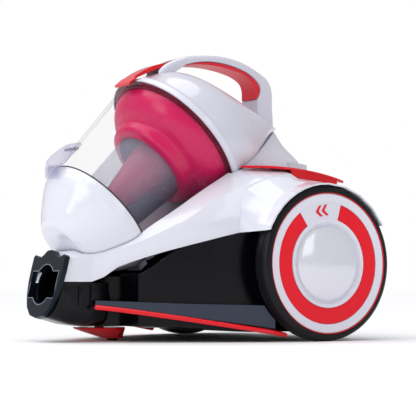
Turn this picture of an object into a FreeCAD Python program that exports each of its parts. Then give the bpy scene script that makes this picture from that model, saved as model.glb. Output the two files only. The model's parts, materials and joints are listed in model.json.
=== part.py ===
import FreeCAD, Part
import math
import os

os.makedirs("parts", exist_ok=True)
V = FreeCAD.Vector

# Canister vacuum cleaner, millimetres.  +Z is up, the hose inlet faces -Y and the
# origin is on the floor under the middle of the machine.

# wheels
WHEEL_Y = 90.5
WHEEL_R = 79.5
WHEEL_IN = 122.0
WHEEL_OUT = 144.0
AXLE_R = 6.0

# dust cup, set on a tilted axis that passes through the middle of its rim
RIM = V(0, -8.6, 208.0)
TILT = 41.2
CUP_LEN = 120.0
CUP_R0 = 65.3
CUP_R1 = 80.3
LID_LEN = 52.4
LID_R = 32.0
WALL = 2.5
SEAM_H = -46.4
SEAM_FALL = 0.1634
COVER_R = 84.0

# hose inlet
INLET = V(0, -161.6, 57.7)
INLET_LEAN = 14.3
BORE_R = 20.5
BORE_LEN = 34.0

# caster under the nose
TOWER_Y = -84.0
TOWER_R = 28.0
CASTER_Y = -98.0
CASTER_TRAIL = 16.0
CASTER_WHEEL_R = 6.2

# air duct from the tower up to the cup
DUCT_Z = 44.0
DUCT_R = 14.0
DUCT_BEND = 26.0

# white shell at stations along its length: y, then half width and height of its lower
# edge, of the crease, of the deck beside the cup, and the height of the middle
SHELL = [
    (-160.0, 32.0, 60.5, 30.5, 84.0, 20.0, 89.0, 90.0),
    (-150.0, 33.0, 60.5, 31.5, 84.0, 20.0, 89.5, 90.5),
    (-138.0, 35.5, 60.5, 34.5, 85.0, 24.0, 91.0, 92.0),
    (-124.0, 38.0, 60.6, 40.0, 86.5, 30.0, 93.5, 94.0),
    (-106.0, 50.0, 74.5, 54.0, 92.0, 44.0, 100.5, 101.0),
    (-86.0, 64.0, 83.4, 66.5, 101.5, 57.0, 112.0, 114.0),
    (-66.0, 76.0, 90.5, 77.5, 112.5, 59.5, 123.5, 126.0),
    (-46.0, 85.0, 96.3, 86.0, 122.8, 62.0, 135.0, 138.0),
    (-24.0, 93.0, 102.3, 91.5, 138.5, 64.5, 149.5, 152.0),
    (0.0, 100.0, 108.5, 97.0, 151.5, 66.5, 164.5, 167.0),
    (24.0, 106.0, 114.0, 101.0, 161.5, 69.0, 177.0, 178.5),
    (50.0, 111.0, 118.5, 104.5, 169.5, 69.5, 179.5, 180.5),
    (72.0, 113.5, 120.2, 105.0, 172.5, 69.5, 179.5, 180.5),
    (80.0, 114.0, 120.5, 105.0, 167.0, 69.5, 179.0, 180.0),
    (115.0, 113.0, 121.0, 104.0, 165.0, 69.0, 175.0, 176.0),
    (140.0, 107.0, 121.0, 98.0, 158.5, 66.0, 167.0, 168.5),
    (158.0, 97.0, 121.0, 88.0, 149.0, 60.0, 156.0, 157.5)]
STATIONS = 30

# half width of the wide ledge at the foot of the base: y, half width, top
SKIRT = [(-125.0, 41.0), (-106.0, 60.0), (-78.0, 79.0), (-49.0, 95.0), (-18.0, 110.0),
         (14.0, 125.0), (32.0, 130.0)]


def cup_place(shape):
    """Stand a part made about the z axis on the tilted cup axis."""
    out = shape.copy()
    out.Placement = FreeCAD.Placement(RIM, FreeCAD.Rotation(V(1, 0, 0), TILT - 90.0))
    return out


def cup_point(x, s, h):
    """Point s along the cup axis, h above it and x to the side."""
    a = math.radians(TILT)
    y = RIM.y + s * math.cos(a) - h * math.sin(a)
    z = RIM.z + s * math.sin(a) + h * math.cos(a)
    return V(x, y, z)


def polygon(points):
    pts = [V(*p) if isinstance(p, tuple) else p for p in points]
    return Part.Face(Part.makePolygon(pts + [pts[0]]))


def spline(points):
    curve = Part.BSplineCurve()
    curve.interpolate([V(*p) if isinstance(p, tuple) else p for p in points])
    return curve.toShape()


def line(a, b):
    return Part.makeLine(a, b)


def along(table, y, column):
    """Smooth value of one column of a table whose first column rises."""
    n = len(table)
    k = 0
    while k < n - 2 and y > table[k + 1][0]:
        k += 1
    def slope(i):
        if i == 0 or i == n - 1:
            j = min(i, n - 2)
            return (table[j + 1][column] - table[j][column]) / (table[j + 1][0] - table[j][0])
        a = (table[i][column] - table[i - 1][column]) / (table[i][0] - table[i - 1][0])
        b = (table[i + 1][column] - table[i][column]) / (table[i + 1][0] - table[i][0])
        return 0.0 if a * b <= 0 else 2.0 * a * b / (a + b)
    width = table[k + 1][0] - table[k][0]
    t = (y - table[k][0]) / width
    p, q = table[k][column], table[k + 1][column]
    m0, m1 = slope(k) * width, slope(k + 1) * width
    t2, t3 = t * t, t * t * t
    return (2 * t3 - 3 * t2 + 1) * p + (t3 - 2 * t2 + t) * m0 + (3 * t2 - 2 * t3) * q + \
        (t3 - t2) * m1


def turned(profile, degrees=360.0, start=0.0):
    """Revolve a profile of (radius, height) about the z axis."""
    face = polygon([(r, 0, z) for r, z in profile])
    if start:
        face.rotate(V(0, 0, 0), V(0, 0, 1), start)
    return face.revolve(V(0, 0, 0), V(0, 0, 1), degrees)


def turned_x(profile, y=WHEEL_Y, z=WHEEL_R, degrees=360.0, start=0.0):
    """Revolve a profile of (x, radius) about a cross axis."""
    face = polygon([(x, y + r, z) for x, r in profile])
    if start:
        face.rotate(V(0, y, z), V(1, 0, 0), start)
    return face.revolve(V(0, y, z), V(1, 0, 0), degrees)


def side_prism(points, x0, x1):
    """Profile of (y, z) pulled straight across from x0 to x1."""
    return polygon([(x0, y, z) for y, z in points]).extrude(V(x1 - x0, 0, 0))


def box(x0, x1, y0, y1, z0, z1):
    return Part.makeBox(x1 - x0, y1 - y0, z1 - z0, V(x0, y0, z0))


def rod_x(r, x0, x1, y, z):
    return Part.makeCylinder(r, x1 - x0, V(x0, y, z), V(1, 0, 0))


def rod_z(r, x, y, z0, z1):
    return Part.makeCylinder(r, z1 - z0, V(x, y, z0), V(0, 0, 1))


def ring_z(r1, r0, x, y, z0, z1):
    return rod_z(r1, x, y, z0, z1).cut(rod_z(r0, x, y, z0 - 1, z1 + 1))


def mirrored(shape):
    return shape.mirror(V(0, 0, 0), V(1, 0, 0))


def biggest(shape):
    """Keep the main solid of a cut and drop loose crumbs."""
    solids = sorted(shape.Solids, key=lambda s: -s.Volume)
    return solids[0]


def rounded(shape, radius, pick):
    """Round the edges that pick() accepts, leaving the part sharp if it can't."""
    edges = [e for e in shape.Edges if pick(e)]
    try:
        out = shape.makeFillet(radius, edges)
        return out if out.isValid() and out.Solids else shape
    except Exception:
        return shape


def save(node, shape):
    shape.exportStep("parts/" + node + ".step")
    b = shape.BoundBox
    print("%-22s %2d solid  %9.0f mm3  %s  x %.1f %.1f  y %.1f %.1f  z %.1f %.1f" % (
        node, len(shape.Solids), shape.Volume, "ok " if shape.isValid() else "BAD",
        b.XMin, b.XMax, b.YMin, b.YMax, b.ZMin, b.ZMax))


# ---------------------------------------------------------------- dust cup


def cup_body():
    cup = turned([(CUP_R0, -CUP_LEN + 0.4), (CUP_R1, 0.0), (CUP_R1 - WALL, 0.0),
                  (CUP_R0 - WALL, -CUP_LEN + 0.4)])
    flange = turned([(CUP_R1 - 0.4, -3.0), (82.2, -3.0), (82.2, 0.0), (CUP_R1 - 1.0, 0.0)])
    port = Part.makeCylinder(DUCT_R, 40, V(0, 45, -92.3), V(0, 1, 0))
    return biggest(cup.fuse(flange).fuse(latch_pad()).cut(port))


LID_PROFILE = [(65.6, -121.2), (65.3, -126.0), (63.2, -132.5), (59.0, -139.5), (54.4, -146.0),
               (49.5, -152.5), (44.6, -159.0), (38.8, -165.5), (34.2, -170.0), (31.4, -171.8),
               (29.5, -172.4)]


def cup_lid():
    """White bottom lid of the cup: a cone with a rounded shoulder and a flat end."""
    outer = LID_PROFILE + [(0.0, -172.4), (0.0, -121.2)]
    inner = [(r - WALL, s) for r, s in LID_PROFILE[1:8]]
    inner = [(63.1, -110.0)] + inner + [(31.0, -169.9), (0.0, -169.9), (0.0, -110.0)]
    return biggest(turned(outer).cut(turned(inner)))


def cup_gasket():
    return turned([(65.9, -121.0), (65.9, -119.8), (61.0, -119.8), (61.0, -121.0)])


def lid_hinge():
    """Barrel that joins the bottom lid to the underside of the cup."""
    ears = box(-14, 14, 65.0, 70.5, -125.0, -114.5)
    keep = turned([(60, -130), (66.1, -130), (66.1, -121.2), (66.1, -119.0), (66.3, -112.0),
                   (60, -112)])
    ears = ears.cut(keep)
    return biggest(ears)


def latch_pad():
    """Pair of ears on the cup wall that carry the latch pin."""
    ears = box(-12.6, -10.4, -74.5, -60.0, -104.5, -95.5)
    ears = ears.fuse(box(10.4, 12.6, -74.5, -60.0, -104.5, -95.5))
    ears = ears.cut(turned([(0, -119), (CUP_R0 - 1.0, -119.0), (CUP_R1 - 1.0, 0.0), (0, 0)]))
    ears = ears.cut(Part.makeCylinder(1.52, 40, V(-20, -71.6, -100.0), V(1, 0, 0)))
    return ears


def latch_pin():
    return Part.makeCylinder(1.5, 26, V(-13, -71.6, -100.0), V(1, 0, 0))


def lid_latch():
    """Clear finger latch that reaches from the cup over the edge of the lid."""
    profile = [(-91.5, 70.0), (-91.5, 73.4), (-97.0, 76.2), (-106.0, 77.8), (-118.0, 78.2),
               (-126.5, 76.6), (-128.5, 72.5), (-125.5, 69.4), (-120.5, 68.2), (-113.0, 68.6),
               (-104.0, 69.3)]
    body = polygon([(-9.6, -h, s) for s, h in profile]).extrude(V(19.2, 0, 0))
    body = body.cut(Part.makeCylinder(1.56, 40, V(-20, -71.6, -100.0), V(1, 0, 0)))
    wing = polygon([(-12.6, -h, s) for s, h in [(-107.0, 72.0), (-107.0, 77.0), (-118.0, 77.9),
                    (-126.4, 76.4), (-128.3, 72.8), (-125.5, 70.0), (-118.0, 69.2)]])
    body = body.fuse(wing.extrude(V(25.2, 0, 0)))
    for k in range(5):
        x = -11.4 + 5.7 * k
        rib = polygon([(x - 1.2, -h, s) for s, h in [(-124.5, 72.5), (-126.5, 75.2),
                       (-131.5, 71.6), (-136.0, 66.0), (-137.4, 62.4), (-133.0, 64.8),
                       (-128.5, 67.4), (-124.5, 69.0)]])
        body = body.fuse(rib.extrude(V(2.4, 0, 0)))
    body = body.cut(turned([(0, -119), (CUP_R0 + 0.6, -119.6), (CUP_R1 + 0.6, 0.0), (0, 0)]))
    lid = [(r + 0.5, s) for r, s in LID_PROFILE] + [(0, -172.9), (0, -119.5), (66.4, -119.5)]
    return biggest(body.cut(turned(lid)).removeSplitter())


def cyclone_drum():
    """Red drum under the rim with a stepped, rounded lower edge and windows."""
    drum = turned([(75.0, -2.0), (72.2, -26.0), (69.0, -31.5), (62.0, -34.5), (52.0, -35.0),
                   (50.5, -43.0), (45.0, -45.5), (38.0, -45.5), (38.0, -43.0), (48.2, -42.5),
                   (50.0, -32.5), (66.0, -31.0), (70.0, -25.0), (72.8, -2.0)])
    for k in range(12):
        slot = box(44.0, 56.0, -6.0, 6.0, -41.5, -36.5)
        slot.rotate(V(0, 0, 0), V(0, 0, 1), 30.0 * k)
        drum = drum.cut(slot)
    return biggest(drum)


def cyclone_top():
    """Lid plate of the drum with the ring of small cyclone mouths."""
    plate = turned([(74.4, -1.8), (74.4, 1.2), (22.0, 1.2), (22.0, -1.8)])
    for k in range(10):
        a = math.radians(36.0 * k)
        hole = rod_z(8.0, 52.0 * math.cos(a), 52.0 * math.sin(a), -3, 3)
        plate = plate.cut(hole)
    return plate


def cyclone_cone():
    return turned([(26.0, -2.2), (24.0, -42.0), (11.0, -108.0), (9.0, -108.0), (22.0, -42.0),
                   (23.9, -2.2)])


def cyclone_shroud():
    """Sleeve of fine mesh between the drum and the bottom of the cup."""
    sleeve = turned([(37.5, -45.0), (33.5, -112.0), (31.7, -112.0), (35.7, -45.0)])
    base = turned([(44.0, -112.2), (46.5, -117.5), (45.0, -118.5), (12.0, -112.0),
                   (12.0, -110.2), (31.5, -110.2), (31.5, -112.2)])
    return sleeve, base


def rim_seal():
    return turned([(75.4, -1.7), (77.3, -1.7), (77.3, 0.2), (81.8, 0.2), (81.8, 2.4),
                   (75.4, 2.4)])


def pre_filter():
    return turned([(70.0, 2.0), (70.0, 14.0), (20.0, 14.0), (20.0, 2.0)])


# cover along the cup axis: distance, how far the circle is pressed down, its half width
DOME = [(0.0, 1.0, 1.0), (14.0, 0.945, 1.0), (30.0, 0.905, 0.975), (45.0, 0.837, 0.90),
        (60.0, 0.672, 0.77), (75.0, 0.444, 0.625), (90.0, 0.231, 0.48), (105.0, 0.045, 0.33)]
DOME_END = 105.0


def seam_h(s):
    """Height of the seam under the cover; it falls a little towards the back."""
    return SEAM_H - SEAM_FALL * s


def dome_wire(s, place, inset):
    """Cross-section of the cover: part of a circle pressed down onto the seam."""
    k, w = along(DOME, s, 1), along(DOME, s, 2)
    seam = seam_h(s)
    half = math.acos(seam / COVER_R)
    tall = (COVER_R - seam) * k
    shrink = max(0.15, (tall - 2.0 * inset) / tall)
    pts = []
    for i in range(17):
        a = half * (i / 8.0 - 1.0)
        x = (COVER_R * w - inset) * math.sin(a)
        h = seam + inset + (COVER_R * math.cos(a) - seam) * k * shrink
        pts.append(V(x, -h, place))
    return Part.Wire([spline(pts), line(pts[-1], pts[0])])


def dome_solid(inset, s0, s_end):
    wires = []
    for i in range(23):
        s = s0 + (s_end - s0) * i / 22.0
        wires.append(dome_wire(max(0.0, s), s, inset))
    return Part.makeLoft(wires, True, True)


def button_plan(grow):
    """Button seen along N: wide tab, narrow root between the legs of the handle."""
    w, m, n = 15.0 + grow, 11.0 + grow, 8.5 + grow
    pts = [(-w, -15.0), (w, -15.0), (w, 0.5), (m, 5.0), (m, 30.0), (n, 44.0), (n, 57.0 + grow),
           (-n, 57.0 + grow), (-n, 44.0), (-m, 30.0), (-m, 5.0), (-w, 0.5)]
    return polygon([(x, -120.0, z) for x, z in pts]).extrude(V(0, 120.0, 0))


def button_room():
    """Pocket in the cover and the handle that the button sits and moves in."""
    side = polygon([(-20, -h, s) for s, h in [(-16, 100), (62, 100), (62, 58.5), (50.0, 61.0),
                   (40, 66.0), (26, 71.6), (10, 75.4), (1.0, 76.4), (1.0, 78.2), (-16, 78.2)]])
    side = side.extrude(V(40, 0, 0))
    return side.common(button_plan(0.8))


def button_pin_hole():
    return Part.makeCylinder(1.52, 26.0, V(-13.0, -66.0, 53.5), V(1, 0, 0))


def cup_cover():
    """Pale dome over the rim of the cup."""
    outer = dome_solid(0.0, -1.0, DOME_END)
    inner = dome_solid(3.0, 16.0, 88.0)
    cover = outer.cut(inner)
    cover = cover.cut(turned([(0, -5), (82.6, -5), (82.6, 2.6), (0, 2.6)]))
    cover = cover.cut(turned([(0, 2), (74.0, 2), (74.0, 17.0), (0, 17.0)]))
    outlet = Part.makeCylinder(21.0, 30, V(0, 40, 42.0), V(0, 1, 0))
    cover = cover.cut(outlet)
    cover = cover.cut(button_room()).cut(button_pin_hole())
    return biggest(cover)


BUTTON_TOP = [(-9.0, 86.6), (-4.0, 86.6), (2.0, 86.3), (10.0, 85.4), (20.0, 83.4), (30.0, 80.4),
              (40.0, 76.0), (48.0, 71.6), (55.0, 67.0)]
BUTTON_LOW = [(54.5, 64.0), (47.0, 67.6), (38.0, 72.2), (28.0, 76.4), (18.0, 79.6), (10.0, 81.9),
              (4.0, 83.4), (0.0, 83.8), (-9.0, 83.9)]


def release_button():
    """Red lever on the crown of the cover; its front tab hangs over the cup rim."""
    top = [V(-15.0, -h, s) for s, h in BUTTON_TOP]
    low = [V(-15.0, -h, s) for s, h in BUTTON_LOW]
    wire = Part.Wire([spline(top), line(top[-1], low[0]), spline(low), line(low[-1], top[0])])
    body = Part.Face(wire).extrude(V(30, 0, 0))
    body = rounded(body, 1.2, lambda e: e.Length > 55).common(button_plan(0.0))
    hub = Part.makeCylinder(3.2, 18, V(-9, -66.0, 53.5), V(1, 0, 0))
    body = body.fuse(hub).cut(Part.makeCylinder(1.56, 40, V(-20, -66.0, 53.5), V(1, 0, 0)))
    return biggest(body)


def button_pin():
    return Part.makeCylinder(1.5, 25.6, V(-12.8, -66.0, 53.5), V(1, 0, 0))


HANDLE_OUT = [(-34.0, 283.4), (-24.0, 291.4), (-11.0, 297.7), (3.7, 301.8), (23.0, 304.2),
              (46.7, 304.9), (62.0, 303.1), (80.0, 298.1), (95.6, 291.0), (106.9, 283.5),
              (111.9, 275.0), (113.4, 255.1), (114.4, 240.0), (114.2, 226.0)]
HANDLE_MID = [(91.5, 260.6), (95.0, 266.2), (96.1, 273.8), (91.2, 281.2), (76.6, 290.2),
              (58.8, 295.3), (36.9, 297.8), (15.3, 296.4), (-1.2, 292.4)]
GRIP_OUT = [(91.0, 261.4), (94.5, 266.6), (95.6, 273.7), (90.8, 280.8), (76.4, 289.7),
            (58.7, 294.8), (36.9, 297.3), (15.4, 295.9), (1.2, 292.7)]
HANDLE_IN = [(90.0, 262.0), (89.8, 270.0), (87.4, 278.6), (80.4, 284.4), (65.3, 289.8),
             (43.2, 293.4), (22.0, 294.2), (2.0, 292.2)]


def handle():
    """Arch over the cover: two legs at the front, one post at the back."""
    out = [V(-15, y, z) for y, z in HANDLE_OUT]
    mid = [V(-15, y, z) for y, z in HANDLE_MID]
    foot = [V(-15, 92.6, 226.0), V(-15, -14.0, 283.4), V(-15, -17.0, 270.0), V(-15, -36.0, 270.0)]
    edges = [spline(out), line(out[-1], foot[0]), line(foot[0], mid[0]), spline(mid)]
    edges += [line(mid[-1], foot[1]), line(foot[1], foot[2]), line(foot[2], foot[3])]
    edges += [line(foot[3], out[0])]
    body = Part.Face(Part.Wire(edges)).extrude(V(30, 0, 0))
    body = rounded(body, 4.5, lambda e: e.Length > 170)
    body = body.cut(cup_place(dome_solid(0.0, -1.0, DOME_END)))
    body = body.common(above_seam(0.0))
    body = body.cut(cup_place(button_room())).cut(cup_place(button_pin_hole()))
    return biggest(body)


def handle_grip():
    """Red soft pad along the inner side of the arch."""
    out = [V(-13.0, y, z) for y, z in GRIP_OUT]
    low = [V(-13.0, y, z) for y, z in HANDLE_IN]
    face = Part.Face(Part.Wire([spline(out), line(out[-1], low[-1]), spline(low[::-1]),
                                line(low[0], out[0])]))
    return face.extrude(V(26, 0, 0))


# ---------------------------------------------------------------- shell

def station(i):
    first, last = SHELL[0][0], SHELL[-1][0]
    return first + (last - first) * i / (STATIONS - 1.0)


def shell_wire(y, inset, drop):
    xl, zl, xc, zc, xd, zd, zt = [along(SHELL, y, c) for c in range(1, 8)]
    zl = zl - drop
    xm = xl * 0.45 + xc * 0.55 + 2.0 * min(1.0, xl / 100.0)
    zm = zl * 0.45 + zc * 0.55
    xl, xm, xc = xl - inset, xm - inset, xc - inset
    zc, zd, zt = zc - inset, zd - inset, zt - inset
    right = [V(xl, y, zl), V(xm, y, zm), V(xc, y, zc)]
    xe = (xc + xd) / 2.0
    ze = (zc + zd) / 2.0 + 0.8
    top = [V(xc, y, zc), V(xe, y, ze), V(xd, y, zd), V(0, y, zt), V(-xd, y, zd),
           V(-xe, y, ze), V(-xc, y, zc)]
    left = [V(-xc, y, zc), V(-xm, y, zm), V(-xl, y, zl)]
    return Part.Wire([spline(right), spline(top), spline(left), line(left[-1], right[0])])


def cup_bay():
    """Space swept by the cup assembly as it lifts out of the shell."""
    prof = [(0, -173.6), (33.0, -173.6)]
    prof += [(r + 1.0, s - 0.6) for r, s in LID_PROFILE[::-1][1:]]
    prof += [(66.4, -119.0), (CUP_R1 + 1.0, -4.0), (85.0, -4.0), (85.0, 17.5), (0, 17.5)]
    return cup_place(turned(prof))


# raised body behind the cup: height, half width, length, roundness of the plan
REAR = [(172.0, 69.5, 119.5, 0.667), (178.0, 69.0, 119.5, 0.667), (188.0, 65.0, 118.5, 0.667),
        (202.0, 55.0, 108.5, 0.68), (215.0, 46.0, 101.0, 0.78), (227.0, 40.0, 94.5, 0.80),
        (236.0, 36.0, 88.0, 0.80)]
REAR_FRONT = 22.0


def rear_plan(half, length, z, inset=0.0, power=0.667):
    """Plan with a straight front edge and a rounded back."""
    pts = []
    for i in range(19):
        a = math.pi * i / 18.0
        c = abs(math.cos(a)) ** power
        s = max(0.0, math.sin(a)) ** power
        x = (half - inset) * c * (1 if i <= 9 else -1)
        pts.append(V(x, REAR_FRONT + inset + (length - 2 * inset) * s, z))
    return Part.Wire([spline(pts), line(pts[-1], pts[0])])


def above_seam(gap):
    """Everything above the plane that the cover rests on."""
    corners = [(-200.0, seam_h(-200.0) - gap), (200.0, seam_h(200.0) - gap), (200.0, 400.0),
               (-200.0, 400.0)]
    return cup_place(polygon([(-200.0, -h, s) for s, h in corners]).extrude(V(400, 0, 0)))


def rear_solid(inset, gap):
    wires = []
    for z, w, n, power in REAR:
        wires.append(rear_plan(w, n, z - inset * 0.7, inset, power))
    body = Part.makeLoft(wires, True, False)
    return body.cut(above_seam(gap))


def rear_cover():
    """Raised pale body behind the cup, over the motor."""
    body = rear_solid(0.0, 0.6)
    ledge = Part.Face(rear_plan(66.0, 128.5, 172.0)).extrude(V(0, 0, 16.6))
    ledge = ledge.cut(box(-80, 80, -50, 100, 150, 220))
    ledge = ledge.cut(Part.Face(rear_plan(63.0, 122.5, 160.0, 0.0)).extrude(V(0, 0, 25.6)))
    body = body.cut(rear_solid(3.0, 3.6)).fuse(ledge)
    body = body.cut(box(-66, 66, 25, 136, 160, 175))
    body = body.cut(cup_bay())
    c = cup_point(0, 42.0, seam_h(42.0))
    d = cup_point(0, 42.0, seam_h(42.0) - 1.0) - c
    body = body.cut(Part.makeCylinder(21.0, 40, c - d * 20, d))
    return biggest(body)


# flare over the wheel: angle from the front, width where it bends, width and radius of its
# root on the flank
FENDER = [(15.0, 139.5, 103.0, 86.0), (27.0, 137.0, 103.0, 92.5), (36.0, 133.0, 103.5, 101.0),
          (45.0, 129.0, 104.0, 106.0), (52.0, 126.0, 104.5, 103.0), (60.0, 123.0, 105.0, 99.5),
          (68.0, 120.0, 105.5, 96.5), (75.0, 119.0, 106.0, 93.0), (82.0, 119.0, 106.5, 88.5),
          (90.0, 120.0, 107.0, 86.4), (105.0, 122.0, 107.0, 86.0), (120.0, 124.0, 107.0, 85.6),
          (135.0, 126.0, 106.0, 85.0), (150.5, 128.0, 104.0, 84.4)]


def fender():
    """Flared arch over a wheel and the hollow behind it."""
    def wire(angle, points):
        a = math.radians(angle)
        pts = [V(x, WHEEL_Y - r * math.cos(a), WHEEL_R + r * math.sin(a)) for x, r in points]
        return Part.makePolygon(pts + [pts[0]])
    skin, hollow = [], []
    for angle, bend, root, height in FENDER:
        skin.append(wire(angle, [(101.0, 80.6), (143.4, 80.6), (143.4, 82.3), (bend, 83.9),
                                 (root, height), (101.0, height)]))
        if 30.0 < angle < 80.0:
            hollow.append(wire(angle, [(88.0, 83.2), (bend - 7.0, 83.2), (root - 1.0, height - 4.5),
                                       (88.0, height - 4.5)]))
    arch = Part.makeLoft(skin, True, True)
    below = [(-60.0, 0.0), (-60.0, 93.0), (0.0, 108.5), (24.0, 114.2), (50.0, 118.5), (50.0, 0.0)]
    arch = arch.cut(side_prism(below, 90.0, 160.0))
    return arch, Part.makeLoft(hollow, True, True)


def upper_shell():
    """White shell: nose, arms beside the cup, deck and fenders."""
    outer = Part.makeLoft([shell_wire(station(i), 0.0, 0.0) for i in range(STATIONS)],
                          True, True)
    inner = Part.makeLoft([shell_wire(station(i), 3.0, 2.0) for i in range(STATIONS)],
                          True, True)
    inner = inner.cut(box(-200, 200, -200, -148.5, 0, 300))
    inner = inner.cut(box(-200, 200, 155.0, 200, 0, 300))
    shell = outer.cut(inner)
    arch, hollow = fender()
    shell = shell.fuse(arch).fuse(mirrored(arch)).cut(inner)
    shell = shell.cut(hollow).cut(mirrored(hollow))
    shell = shell.cut(cup_bay())
    shell = shell.cut(Part.Face(rear_plan(70.0, 129.6, 140.0, -0.4)).extrude(V(0, 0, 100)))
    for side in (-1, 1):
        shell = shell.cut(pedal_room(side))
    shell = shell.cut(inlet_place(Part.makeBox(200, 200, 100, V(-100, -100, -4.6))))
    shell = shell.cut(inlet_place(Part.makeCylinder(BORE_R + 3.3, 100, V(0, 0, -60))))
    return biggest(shell)


# ---------------------------------------------------------------- pedals

def pedal_plan(grow=0.0):
    """Wing outline of a foot pedal seen from above."""
    outer = [(74.0, 29.0), (86.0, 44.0), (95.0, 60.0), (100.0, 74.0), (103.5, 95.0),
             (104.5, 115.0), (103.0, 134.0), (101.0, 143.0)]
    inner = [(96.0, 141.0), (86.0, 128.0), (78.5, 105.0), (75.0, 80.0), (73.2, 55.0),
             (72.4, 34.0)]
    out = []
    for x, y in outer:
        out.append(V(x + grow, y + (grow if y > 130 else (-grow if y < 30 else 0.0)), 0))
    inn = [V(x - grow, y, 0) for x, y in inner]
    wire = Part.Wire([spline(out), line(out[-1], inn[0]), spline(inn), line(inn[-1], out[0])])
    return Part.Face(wire)


PEDAL_TOP = [(26.0, 181.2), (45.0, 181.3), (65.0, 180.3), (85.0, 178.4), (105.0, 175.6),
             (125.0, 172.0), (146.0, 167.4)]


def pedal():
    """Red foot pedal: sloping plate over a skirt wall."""
    plate = pedal_plan().extrude(V(0, 0, 300))
    low = [(y, z - 2.4) for y, z in PEDAL_TOP]
    face = Part.Face(Part.Wire([spline([(60, y, z) for y, z in PEDAL_TOP]),
                                line(V(60, *PEDAL_TOP[-1]), V(60, *low[-1])),
                                spline([(60, y, z) for y, z in low[::-1]]),
                                line(V(60, *low[0]), V(60, *PEDAL_TOP[0]))]))
    plate = plate.common(face.extrude(V(60, 0, 0)))
    wall_plan = [(99.0, 76.0), (101.6, 95.0), (102.6, 115.0), (101.2, 134.0), (92.0, 131.0),
                 (84.0, 112.0), (79.0, 84.0)]
    wall = polygon([(x, y, 0) for x, y in wall_plan]).extrude(V(0, 0, 300))
    inside = polygon(
        [(97.0, 78.0, 0), (99.6, 95.0, 0), (100.6, 115.0, 0), (99.4, 131.4, 0),
         (93.0, 128.8, 0), (85.8, 111.2, 0), (81.0, 86.0, 0)]).extrude(V(0, 0, 300))
    wall = wall.cut(inside)
    under = [(y, z - 2.2) for y, z in PEDAL_TOP]
    band = side_prism(under + [(146, 158.0), (100, 163.0), (26, 166.5)], 50, 130)
    wall = wall.common(band)
    return biggest(plate.fuse(wall))


def pedal_room(side):
    """Space a pedal needs through its whole press."""
    room = pedal_plan(0.7).extrude(V(0, 0, 300))
    low = [(y, z - 2.4 - 0.8 - 0.042 * max(0.0, y - 40.0)) for y, z in PEDAL_TOP]
    high = [(y, z + 30.0) for y, z in PEDAL_TOP]
    room = room.common(side_prism(low + high[::-1], 50, 130))
    wall = polygon([(99.6, 74.6, 150.0), (102.4, 95.0, 150.0), (103.4, 115.0, 150.0),
                    (102.0, 135.4, 150.0), (90.8, 132.4, 150.0), (82.6, 112.6, 150.0),
                    (77.4, 83.0, 150.0), (77.4, 76.0, 150.0)]).extrude(V(0, 0, 60))
    room = room.fuse(wall)
    return mirrored(room) if side < 0 else room


# ---------------------------------------------------------------- base

def base_plan(inset=0.0):
    """Plan outline of the black base between the wheels."""
    half = []
    for y in (-88.0, -77.0, -66.0, -56.0, -46.0, -35.0, -24.0, -12.0, 0.0, 12.0, 24.0, 37.0, 50.0,
              65.0, 80.0, 97.0, 115.0, 128.0, 140.0, 150.0):
        half.append((along(SHELL, y, 1) - inset, y))
    half[0] = (half[0][0], -88.0 + inset)
    rear = [(88.0 - inset, 160.0 - inset), (70.0, 165.0 - inset)]
    pts = [V(x, y, 0) for x, y in half + rear]
    back = [V(-p.x, p.y, 0) for p in pts[::-1]]
    return Part.Face(Part.Wire([spline(pts), line(pts[-1], back[0]), spline(back),
                                line(back[-1], pts[0])]))


BASE_TOP = [(-200.0, 69.0), (-84.0, 69.0), (-64.0, 85.0), (-60.0, 89.0)]
BASE_LOW = [(-200.0, 15.6), (-62.0, 15.6), (-34.0, 14.0), (0.0, 10.4), (20.0, 9.6), (90.0, 9.6),
            (130.0, 12.0), (152.0, 19.0), (180.0, 40.0)]


def base_section(inset):
    """Side profile of the base, from its belly up to the edge of the white shell."""
    top = list(BASE_TOP)
    for i in range(STATIONS):
        y = station(i)
        if y > -58.0:
            top.append((y, along(SHELL, y, 2) - 0.6))
    top.append((180.0, top[-1][1]))
    low = [(y, z + inset) for y, z in BASE_LOW]
    if inset:
        top = [(-200.0, 250.0), (180.0, 250.0)]
    return side_prism(low + top[::-1], -150, 150)


def base_tub():
    """Black tray that carries the motor, the cord reel and the axles."""
    outer = base_plan().extrude(V(0, 0, 200)).common(base_section(0.0))
    inner = base_plan(3.0).extrude(V(0, 0, 300)).common(base_section(3.0))
    tub = outer.cut(inner)
    tub = tub.cut(rod_z(TOWER_R + 0.2, 0, TOWER_Y, -10, 100))
    tub = tub.cut(cup_bay())
    for side in (-1, 1):
        tub = tub.fuse(rod_x(14.0, min(side * 84.0, side * 118.0), max(side * 84.0, side * 118.0),
                             WHEEL_Y, WHEEL_R))
    tub = tub.cut(rod_x(AXLE_R, -140, 140, WHEEL_Y, WHEEL_R))
    for k in range(7):
        z = 52.0 + 8.0 * k
        tub = tub.cut(box(-42, 42, 155, 175, z, z + 4.2))
    tub = tub.cut(Part.makeCylinder(7.0, 40, V(62, 140, 96), V(0, 1, 0)))
    return biggest(tub)


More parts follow.
